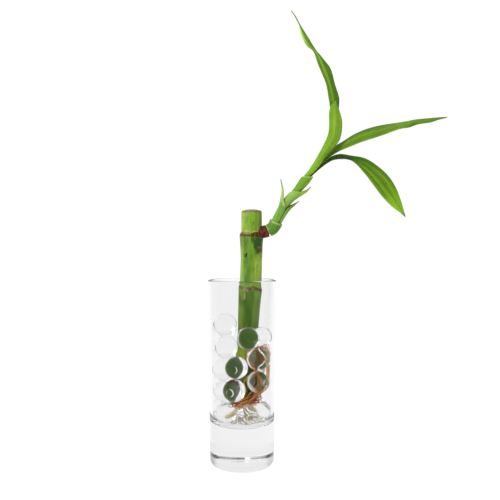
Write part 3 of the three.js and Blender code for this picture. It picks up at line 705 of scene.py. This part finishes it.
def cane_paint():
    """Streaked green skin with its marks, mottled, and rough on the scar rings."""
    paint = Paint("cane_look")
    streak = paint.noise(1.0, (420, 420, 18), detail=4)
    fine = paint.noise(1.0, (1500, 1500, 60), detail=2)
    grain = paint.noise(420, detail=4)
    patch = paint.noise(160, (1, 1, 0.5), detail=3)
    mottle = paint.noise(330, (1, 1, 0.35), detail=5, rough=0.7)
    speck = paint.noise(900, (1, 1, 0.6), detail=1)
    height = paint.wander(paint.attribute("height"), 1.6, grain)
    around = paint.wander(paint.attribute("around"), 14.0, patch)
    base = paint.ramp(streak, [(0.3, (0.12, 0.25, 0.018)), (0.5, (0.18, 0.33, 0.026)),
                               (0.7, (0.25, 0.4, 0.04))])
    for (left, right), (low, high), (soft_angle, soft_height), colour, strength in CANE_MARKS:
        inside = paint.window(height, low, high, soft_height)
        if (left, right) != (-180, 180):
            inside = paint.math("MULTIPLY", inside, paint.window(around, left, right, soft_angle))
        base = paint.tint(base, inside, strength, colour)
    for grains, none, full, strength, colour in (
        (mottle, 0.48, 0.36, 0.45, (0.04, 0.11, 0.008)),
        (mottle, 0.54, 0.66, 0.3, (0.36, 0.5, 0.07)),
        (fine, 0.42, 0.3, 0.35, (0.03, 0.09, 0.006)),
        (fine, 0.6, 0.75, 0.25, (0.45, 0.55, 0.12)),
        (speck, 0.73, 0.78, 0.45, (0.02, 0.05, 0.004)),
    ):
        base = paint.tint(base, paint.band(grains, none, full), strength, colour)
    ridges = paint.math("ADD", streak, paint.math("MULTIPLY", fine, 0.4))
    for low, high in SCAR_RINGS:
        scar = paint.math("MULTIPLY", paint.window(height, low, high, 0.4), grain)
        ridges = paint.math("MULTIPLY_ADD", scar, SCAR_ROUGHNESS, ridges)
    return paint.coat(Base_Color=base, Roughness=paint.math("MULTIPLY_ADD", grain, 0.2, 0.3),
                      Specular_IOR_Level=0.15, Normal=paint.bump(ridges, 0.3, 0.0004))


def cane_wave(height, turn):
    """How far the skin is shifted up at a height and an angle, by the ring near it."""
    side = math.sin(turn)
    fast, slow = WAVE_CHANGE
    wild = noise.noise(Vector((math.cos(turn) * fast, side * fast, height * slow))) * WAVE_HEIGHT
    shift = 0.0
    for ring, reach, uneven, fall in SCAR_WAVES:
        near = math.exp(-(((height - ring) / reach) ** 2))
        shift += near * (wild * uneven - fall * side)
    return shift


def cane_piece():
    foot, top = CANE_OUTLINE[0][1], CANE_OUTLINE[-1][1]
    fast, slow = RELIEF_CHANGE
    points, heights, angles = [cane_centre(foot)], [foot], [0.0]
    for i in range(CANE_ROWS + 1):
        height = mix(foot, top, i / CANE_ROWS)
        centre, radius = cane_centre(height), table(CANE_OUTLINE, height)
        for k in range(CANE_SIDES):
            turn = -math.pi + 2 * math.pi * k / CANE_SIDES
            out = Vector((math.sin(turn), -math.cos(turn), 0))
            relief = noise.noise(Vector((out.x * fast, out.y * fast, height * slow))) * SKIN_RELIEF
            up = Vector((0, 0, cane_wave(height, turn)))
            points.append(centre + out * (radius + relief) + up)
            heights.append(height)
            angles.append(math.degrees(turn))
    points.append(cane_centre(top))
    heights.append(top)
    angles.append(0.0)
    faces = rod_faces(CANE_ROWS + 1, CANE_SIDES, 1, 0, len(points) - 1)
    places = {"height": heights, "around": angles}
    dress(mesh_piece("cane_skin", points, faces, cane_paint(), places), "cane")


cane_piece()


# ---------------- shoot and sheaths
SHOOT_ROWS, SHOOT_SIDES = 120, 40
SHEATH_COLUMNS, SHEATH_ROWS_PER_POINT = 36, 12
SHEATH_THICKNESS = 0.5
SHEATH_VEINS, LEAF_VEINS = 26, 34  # how often the veins change over the width
SHEATH_TONES = {
    "sheath_cup": (0.11, 0.22, 0.03), "sheath_left": (0.18, 0.35, 0.055),
    "sheath_right": (0.17, 0.33, 0.05), "sheath_upper": (0.24, 0.42, 0.07),
    "sheath_top": (0.15, 0.32, 0.025),
}
# Marks on the sheaths and the leaves, among them painted shade, as blade_paint takes them.
SHEATH_MARKS = {
    "sheath_cup": [
        ((0, 1), (0, 0.05), 0.03, (0.5, 0.52, 0.2), 0.8),
        ((0.5, 1), (0.05, 0.7), 0.2, (0.07, 0.2, 0.015), 0.6),
        ((0.3, 0.42), (0.35, 0.5), 0.06, (0.2, 0.13, 0.03), 0.5),
        ((0, 0.3), (0.75, 1), 0.08, (0.05, 0.13, 0.02), 0.7),
        ((0.6, 1), (0.85, 1), 0.05, (0.45, 0.55, 0.2), 0.6),
    ],
    "sheath_left": [
        # Painted shade along the side that meets sheath_right.
        ((0.62, 1), (0, 0.5), 0.12, (0.1, 0.24, 0.025), 0.5),
        ((0, 1), (0.52, 0.9), 0.07, (0.36, 0.5, 0.17), 0.75),
        ((0.8, 1), (0.44, 0.52), 0.04, (0.5, 0.42, 0.25), 0.7),
        # Painted shade along the same side, further up.
        ((0.9, 1), (0.5, 1), 0.06, (0.1, 0.2, 0.04), 0.6),
        ((0, 1), (0.93, 1), 0.03, (0.12, 0.15, 0.08), 0.8),
    ],
    "sheath_right": [
        # Painted shade along the side that meets sheath_left.
        ((0, 0.25), (0.5, 1), 0.1, (0.09, 0.2, 0.03), 0.5),
        ((0.4, 0.8), (0.2, 0.8), 0.2, (0.26, 0.42, 0.09), 0.6),
        ((0, 1), (0.9, 1), 0.04, (0.07, 0.11, 0.05), 0.8),
    ],
    "sheath_upper": [
        ((0.3, 0.7), (0, 0.5), 0.2, (0.17, 0.33, 0.05), 0.5),
        ((0, 1), (0.6, 1), 0.07, (0.38, 0.52, 0.045), 0.9),
        ((0, 0.2), (0.62, 1), 0.1, (0.06, 0.13, 0.02), 0.3),
        ((0, 1), (0.95, 1), 0.02, (0.1, 0.14, 0.05), 0.8),
    ],
    "sheath_top": [
        ((0.25, 0.6), (0.1, 0.9), 0.2, (0.13, 0.32, 0.015), 0.6),
        ((0, 1), (0.955, 1), 0.015, (0.42, 0.6, 0.2), 0.85),
    ],
}


def shoot_paint():
    """The stem, red-brown and rough as far as the collar reaches."""
    paint = Paint("shoot_look")
    grain = paint.noise(500, detail=4)
    patch = paint.noise(220, detail=2)
    reach = paint.wander(paint.attribute("reach"), 1.2, patch)
    green = paint.ramp(grain, [(0.35, (0.11, 0.24, 0.02)), (0.65, (0.2, 0.36, 0.05))])
    brown = paint.ramp(grain, [(0.3, (0.03, 0.005, 0.003)), (0.5, (0.09, 0.014, 0.007)),
                               (0.7, (0.19, 0.042, 0.018))])
    collar = paint.band(reach, COLLAR["end"] + 0.5, COLLAR["end"] - 0.1)
    height = paint.math("MULTIPLY", grain, paint.math("MULTIPLY_ADD", collar, 2.0, 0.5))
    return paint.coat(Base_Color=paint.blend(collar, green, brown), Roughness=0.5,
                      Specular_IOR_Level=0.12, Normal=paint.bump(height, 0.35, 0.0004))


def stem_radius(distance):
    if distance < COLLAR["end"]:
        return COLLAR["radius"]
    return max(STEM_RADIUS, COLLAR["shoulder"] - (distance - COLLAR["end"]) * COLLAR["taper"])


def shoot_piece():
    line = smooth_line(SHOOT_AXIS)
    centres = [line(i / SHOOT_ROWS) for i in range(SHOOT_ROWS + 1)]
    distances = [0.0]
    for a, b in zip(centres, centres[1:]):
        distances.append(distances[-1] + (b - a).length)
    points, faces = tube(centres, [stem_radius(d) for d in distances], SHOOT_SIDES)
    reach = [d for d in distances for _ in range(SHOOT_SIDES)] + [distances[0], distances[-1]]
    piece = mesh_piece("shoot_core", points, faces, shoot_paint(), {"reach": reach})
    dress(piece, "shoot_stem")


def sheath_piece(name, line, radius, spread, facing, slant=0):
    """A split tube, wrapped round a curve by the spread to both sides of its facing."""
    curve = smooth_line(line)
    steps = len(line) * SHEATH_ROWS_PER_POINT
    rows = []
    for i in range(steps + 1):
        place = i / steps
        ahead = tangent(curve, place)
        upper_left = ahead.cross(Vector((0, 1, 0))).normalized()
        front = ahead.cross(upper_left)
        size = along(radius, place)
        row = []
        for j in range(SHEATH_COLUMNS + 1):
            turn = math.radians(facing + along(spread, place) * (2 * j / SHEATH_COLUMNS - 1))
            point = curve(place) + upper_left * size * math.cos(turn) + front * size * math.sin(turn)
            row.append(point - ahead * slant * place**3 * math.cos(turn))
        rows.append(row)
    points, faces, places = sheet(rows, [SHEATH_THICKNESS] * (SHEATH_COLUMNS + 1))
    look = blade_paint(name + "_look", SHEATH_TONES[name], SHEATH_MARKS[name], SHEATH_VEINS)
    dress(mesh_piece(name + "_scale", points, faces, look, places), name)


shoot_piece()
for sheath in SHEATHS:
    sheath_piece(**sheath)


# ---------------- leaves
# The drooping leaf's darker tone is partly its own colour, partly painted shade of its underside.
LEAF_TONES = {
    "leaf_young": (0.185, 0.36, 0.022), "leaf_tall": (0.08, 0.185, 0.009),
    "leaf_right": (0.11, 0.22, 0.014), "leaf_drooping": (0.062, 0.15, 0.003),
}
LEAF_MARKS = {
    "leaf_young": [
        ((0, 0.07), (0.2, 1), 0.03, (0.12, 0.28, 0.01), 0.6),
        ((0.93, 1), (0.2, 1), 0.03, (0.12, 0.28, 0.01), 0.6),
        ((0.3, 0.42), (0.1, 0.9), 0.07, (0.34, 0.56, 0.03), 0.3),
        ((0.6, 0.68), (0.05, 0.8), 0.03, (0.17, 0.36, 0.012), 0.5),
        ((0.75, 0.88), (0.3, 0.9), 0.05, (0.42, 0.66, 0.03), 0.25),
        ((0, 1), (0, 0.16), 0.08, (0.2, 0.42, 0.015), 0.6),
    ],
    "leaf_tall": [
        # Painted shade on the right margin, which curls back.
        ((0.86, 1), (0.4, 0.68), 0.05, (0.05, 0.13, 0.004), 0.85),
        ((0.2, 0.4), (0.4, 0.72), 0.08, (0.26, 0.46, 0.02), 0.4),
        ((0, 0.3), (0.74, 0.94), 0.07, (0.42, 0.64, 0.06), 0.8),
        ((0.4, 0.55), (0.74, 0.92), 0.03, (0.14, 0.3, 0.01), 0.6),
        ((0, 1), (0.93, 1.1), 0.03, (0.16, 0.17, 0.035), 0.8),
    ],
    "leaf_right": [
        # Painted shade along the upper margin.
        ((0, 0.4), (0.1, 0.62), 0.1, (0.05, 0.14, 0.006), 0.9),
        ((0.54, 0.62), (0.2, 0.9), 0.05, (0.26, 0.44, 0.03), 0.35),
        ((0.7, 0.82), (0.1, 0.6), 0.06, (0.1, 0.23, 0.01), 0.6),
        ((0.95, 1), (0, 0.62), 0.02, (0.45, 0.6, 0.12), 0.6),
        ((0.6, 1), (0.69, 0.76), 0.03, (0.06, 0.15, 0.006), 0.7),
        ((0, 1), (0.9, 1.1), 0.04, (0.12, 0.24, 0.015), 0.6),
    ],
    "leaf_drooping": [
        # Painted shade: the underside near the base, seen from below, and the upper edge beyond it.
        ((0, 1), (-0.1, 0.4), 0.08, (0.004, 0.028, 0.001), 0.97),
        ((0, 0.3), (0.36, 0.52), 0.08, (0.03, 0.12, 0.004), 0.7),
        ((0, 1), (0.74, 0.96), 0.1, (0.22, 0.43, 0.02), 0.75),
        ((0.44, 0.54), (0.4, 0.93), 0.06, (0.055, 0.13, 0.004), 0.6),
        ((0.58, 0.7), (0.45, 0.9), 0.06, (0.17, 0.33, 0.01), 0.5),
        ((0.15, 0.3), (0.6, 0.95), 0.08, (0.17, 0.33, 0.01), 0.45),
        ((0.96, 1), (0.3, 0.95), 0.015, (0.4, 0.54, 0.1), 0.6),
        ((0, 1), (0.965, 1.1), 0.01, (0.08, 0.12, 0.02), 0.7),
    ],
}
# Waves along the margins of each leaf, out of the blade: how many and how high, the shares of the
# length over which they begin, and how far the right margin's lag behind the left one's.
LEAF_WAVES = {
    "leaf_young": (2.5, 0.3), "leaf_tall": (6.5, 0.4), "leaf_right": (4.5, 0.25),
    "leaf_drooping": (3.5, 0.4),
}
WAVES_BEGIN = (0.1, 0.3)
WAVE_LAG = 2.2


def leaf_piece(name, left, right, sag):
    """A blade between two margins, with its middle off the line between them by the sag."""
    waves, wave_height = LEAF_WAVES[name]
    left_line, right_line = smooth_line(left), smooth_line(right)
    steps = (len(left) - 1) * LEAF_ROWS_PER_POINT
    shares = [j / LEAF_COLUMNS for j in range(LEAF_COLUMNS + 1)]
    rows = []
    for i in range(steps + 1):
        place = i / steps
        start = left_line(place)
        across = right_line(place) - start
        outward = across.cross(tangent(left_line, place) + tangent(right_line, place)).normalized()
        row = []
        for share in shares:
            lift = sag * across.length * math.sin(math.pi * share)
            phase = 2 * math.pi * waves * place + WAVE_LAG * share
            ripple = math.sin(phase) * (2 * share - 1) ** 2 * smoothstep(*WAVES_BEGIN, place)
            row.append(start + across * share + outward * (lift + wave_height * ripple))
        rows.append(row)
    thickness = [mix(LEAF_EDGE, LEAF_MIDDLE, math.sin(math.pi * share)) for share in shares]
    points, faces, places = sheet(rows, thickness)
    look = blade_paint(name + "_look", LEAF_TONES[name], LEAF_MARKS[name], LEAF_VEINS)
    dress(mesh_piece(name + "_blade", points, faces, look, places), name)


for name, leaf in LEAVES.items():
    leaf_piece(name, **leaf)


# ---------------- roots
CANE_FOOT = CANE_AXIS[0][2]
ROOT_CLEARANCE = 0.15  # between a strand and a marble
ROOT_PASSES, ROOT_EASE = 24, 0.2  # how often and how far a strand is pulled straight
GUIDE_STEPS, FEWEST_STEPS = 60, 6
CROWN_STRAY = 1.5  # how far the strands end from the middle of the crown
CROWN_POINTS = 4
# How strands differ, from least to most: shade added and share of the route's radius, and on the
# crown the place as a share of its size, the shade added and the radius.
ROUTE_SHADES, ROUTE_RADII = (-0.42, 0.32), (0.5, 1.15)
CROWN_SPREAD, CROWN_SHADES, CROWN_RADII = (-1.1, 1.1), (-0.2, 0.3), (0.25, 0.5)
END_SHARE, STEP_SHARE = 0.35, 0.1  # share of a strand's radius at its ends, and added each step
LUMPS, LUMPS_PER_MM = 0.18, 0.35
chance = random.Random(20)


def push_clear(point, radius):
    """Moves a point of a root until a strand of this radius clears what is round it."""
    for centre, size in MARBLE_PLACES:
        away = point - centre
        least = size + radius + ROOT_CLEARANCE
        if away.length < least:
            point += away.normalized() * (least - away.length)
    if point.z > CANE_FOOT - radius:
        height = max(point.z, CANE_FOOT + 1)
        centre = cane_centre(height)
        away = Vector((point.x - centre.x, point.y - centre.y, 0))
        least = table(CANE_OUTLINE, height) + radius
        if away.length < least:
            point += away.normalized() * (least - away.length)
    room = room_inside(point.z) - radius
    reach = math.hypot(point.x, point.y)
    if reach > room:
        point.x *= room / reach
        point.y *= room / reach
    point.z = max(point.z, VASE["floor"] + radius)


def strand(guide, radius):
    """The centres of a strand along its guide, pulled straight as far as there is room."""
    line = smooth_line(guide)
    rough = [line(i / GUIDE_STEPS) for i in range(GUIDE_STEPS + 1)]
    length = sum((b - a).length for a, b in zip(rough, rough[1:]))
    count = max(FEWEST_STEPS, round(length / ROOT_STEP))
    points = [line(i / count) for i in range(count + 1)]
    for _ in range(ROOT_PASSES):
        for i in range(1, count):
            points[i] = points[i].lerp((points[i - 1] + points[i + 1]) / 2, ROOT_EASE)
        for point in points:
            push_clear(point, radius)
    return points


def strand_radii(centres, radius):
    """The radius at each centre, thinner towards both ends and slightly uneven."""
    radii = []
    for i, centre in enumerate(centres):
        share = min(1, END_SHARE + STEP_SHARE * min(i, len(centres) - 1 - i))
        radii.append(radius * share * (1 + LUMPS * noise.noise(centre * LUMPS_PER_MM)))
    return radii


def stray(point, amount):
    return Vector(point) + Vector([chance.uniform(-amount, amount) for _ in range(3)])


def strand_plans(routes, crown):
    """The guide, radius and tone of each strand, along the routes and then round the crown."""
    plans = []
    for strands, radius, loose, shade, via in routes:
        for _ in range(strands):
            guide = [stray(point, loose) for point in via] + [stray(crown["centre"], CROWN_STRAY)]
            tone = shade + chance.uniform(*ROUTE_SHADES)
            plans.append((guide, radius * chance.uniform(*ROUTE_RADII), tone))
    middle = Vector(crown["centre"])
    for _ in range(crown["strands"]):
        guide = []
        for _ in range(CROWN_POINTS):
            guide.append(middle + Vector([chance.uniform(*CROWN_SPREAD) * s for s in crown["size"]]))
        tone = crown["shade"] + chance.uniform(*CROWN_SHADES)
        plans.append((guide, chance.uniform(*CROWN_RADII), tone))
    return plans


def root_piece(name, routes, crown, look, node):
    points, faces, tones = [], [], []
    for guide, radius, tone in strand_plans(routes, crown):
        centres = strand(guide, radius)
        more_points, more_faces = tube(centres, strand_radii(centres, radius), ROOT_SIDES, len(points))
        points += more_points
        faces += more_faces
        tones += [tone] * len(more_points)
    dress(mesh_piece(name, points, faces, look, {"tone": tones}), node)


def root_paint(name, stops, subsurface):
    """Damp roots, each with its own tone on a ramp of colours."""
    paint = Paint(name)
    speck = paint.noise(180, detail=3)
    tone = paint.wander(paint.attribute("tone"), 0.5, speck)
    return paint.coat(Base_Color=paint.ramp(tone, stops), Roughness=0.4, Specular_IOR_Level=0.12,
                      Normal=paint.bump(speck, 0.3, 0.0003), Subsurface_Weight=subsurface,
                      Subsurface_Radius=(1.0, 0.7, 0.35), Subsurface_Scale=SKIN_DEPTH)


ORANGE_LOOK = root_paint("orange_root_look", [
    (0.0, (0.2, 0.03, 0.008)), (0.3, (0.6, 0.13, 0.015)), (0.55, (0.95, 0.3, 0.03)),
    (0.8, (1.0, 0.5, 0.08)), (1.0, (0.9, 0.74, 0.4)),
], subsurface=0.2)
PALE_LOOK = root_paint("pale_root_look", [
    (0.0, (0.6, 0.44, 0.2)), (0.4, (0.9, 0.82, 0.52)), (1.0, (1.0, 0.96, 0.78)),
], subsurface=0.3)
root_piece("orange_roots", ORANGE_ROUTES, ORANGE_CROWN, ORANGE_LOOK, "roots_orange")
root_piece("pale_roots", PALE_ROUTES, PALE_CROWN, PALE_LOOK, "roots_pale")

# ---------------- stage, light and camera
FLOOR_SIZE = 6000
FLOOR_DROP = 0.05  # how far the floor lies under the vase

# Strength of the light from the left, the right and above, and of the backdrop, and the share of
# the first two behind the camera.
LEFT_LIGHT, RIGHT_LIGHT, TOP_LIGHT, BACKDROP = 0.75, 0.55, 0.3, 1.01
CAMERA_SHARE = 0.65

# In metres and watts.
KEY_PLACE, KEY_TARGET = (-0.8, -1.0, 0.8), (0.02, 0, 0.16)
KEY_SIZE, KEY_POWER = 0.5, 14

CAMERA_PLACE = (5.9, -398, 155.3)
CAMERA_LENS, SENSOR_WIDTH = 38.9, 36
NEAR_CLIP = 0.01  # metres


def floor_piece():
    look = Paint("floor_look").coat(Base_Color=(0.15, 0.15, 0.15), Roughness=1.0,
                                    Emission_Color=(1, 1, 1), Emission_Strength=0.88)
    far = FLOOR_SIZE / 2
    corners = [(x, y, -FLOOR_DROP) for x, y in ((-far, -far), (far, -far), (far, far), (-far, far))]
    floor = mesh_piece("floor", corners, [(0, 1, 2, 3)], look, smooth=False)


def world_light():
    """Soft light from all round, in front of a white backdrop."""
    world = bpy.data.worlds.new("studio")
    scene.world = world
    world.use_nodes = True
    nodes = Nodes(world.node_tree)
    where = nodes.node("TexCoord").outputs["Generated"]
    parts = nodes.node("SeparateXYZ", {"Vector": where}).outputs
    across = nodes.band(parts["X"], -1, 1, LEFT_LIGHT, RIGHT_LIGHT)
    sides = nodes.math("MULTIPLY", across, nodes.band(parts["Y"], -1, -0.1, CAMERA_SHARE, 1))
    around = nodes.math("ADD", sides, nodes.band(parts["Z"], 0.3, 0.9, 0, TOP_LIGHT))
    strength = nodes.math("MAXIMUM", around, nodes.band(parts["Y"], 0.3, 0.8, 0, BACKDROP))
    background = nodes.tree.nodes["Background"].inputs
    nodes.feed(background["Color"], (1, 1, 1))
    nodes.feed(background["Strength"], strength)


def key_light():
    data = bpy.data.lights.new("key", "AREA")
    data.size = KEY_SIZE
    data.energy = KEY_POWER
    lamp = bpy.data.objects.new("key", data)
    lamp.location = KEY_PLACE
    towards = Vector(KEY_TARGET) - Vector(KEY_PLACE)
    lamp.rotation_euler = towards.to_track_quat("-Z", "Y").to_euler()
    scene.collection.objects.link(lamp)


def photo_camera():
    """A level camera that looks along +Y, where the photograph was taken from."""
    data = bpy.data.cameras.new("camera")
    data.lens = CAMERA_LENS
    data.sensor_width = SENSOR_WIDTH
    data.clip_start = NEAR_CLIP
    camera = bpy.data.objects.new("camera", data)
    camera.location = Vector(CAMERA_PLACE) * MM
    camera.rotation_euler = (math.radians(90), 0, 0)
    scene.collection.objects.link(camera)
    scene.camera = camera


floor_piece()
world_light()
key_light()
photo_camera()

scene.view_settings.view_transform = "Standard"
# Light passes many walls of glass on its way through the marbles.
scene.cycles.max_bounces = 32
scene.cycles.transmission_bounces = 32
scene.cycles.glossy_bounces = 8
scene.cycles.use_denoising = True

bpy.context.view_layer.update()
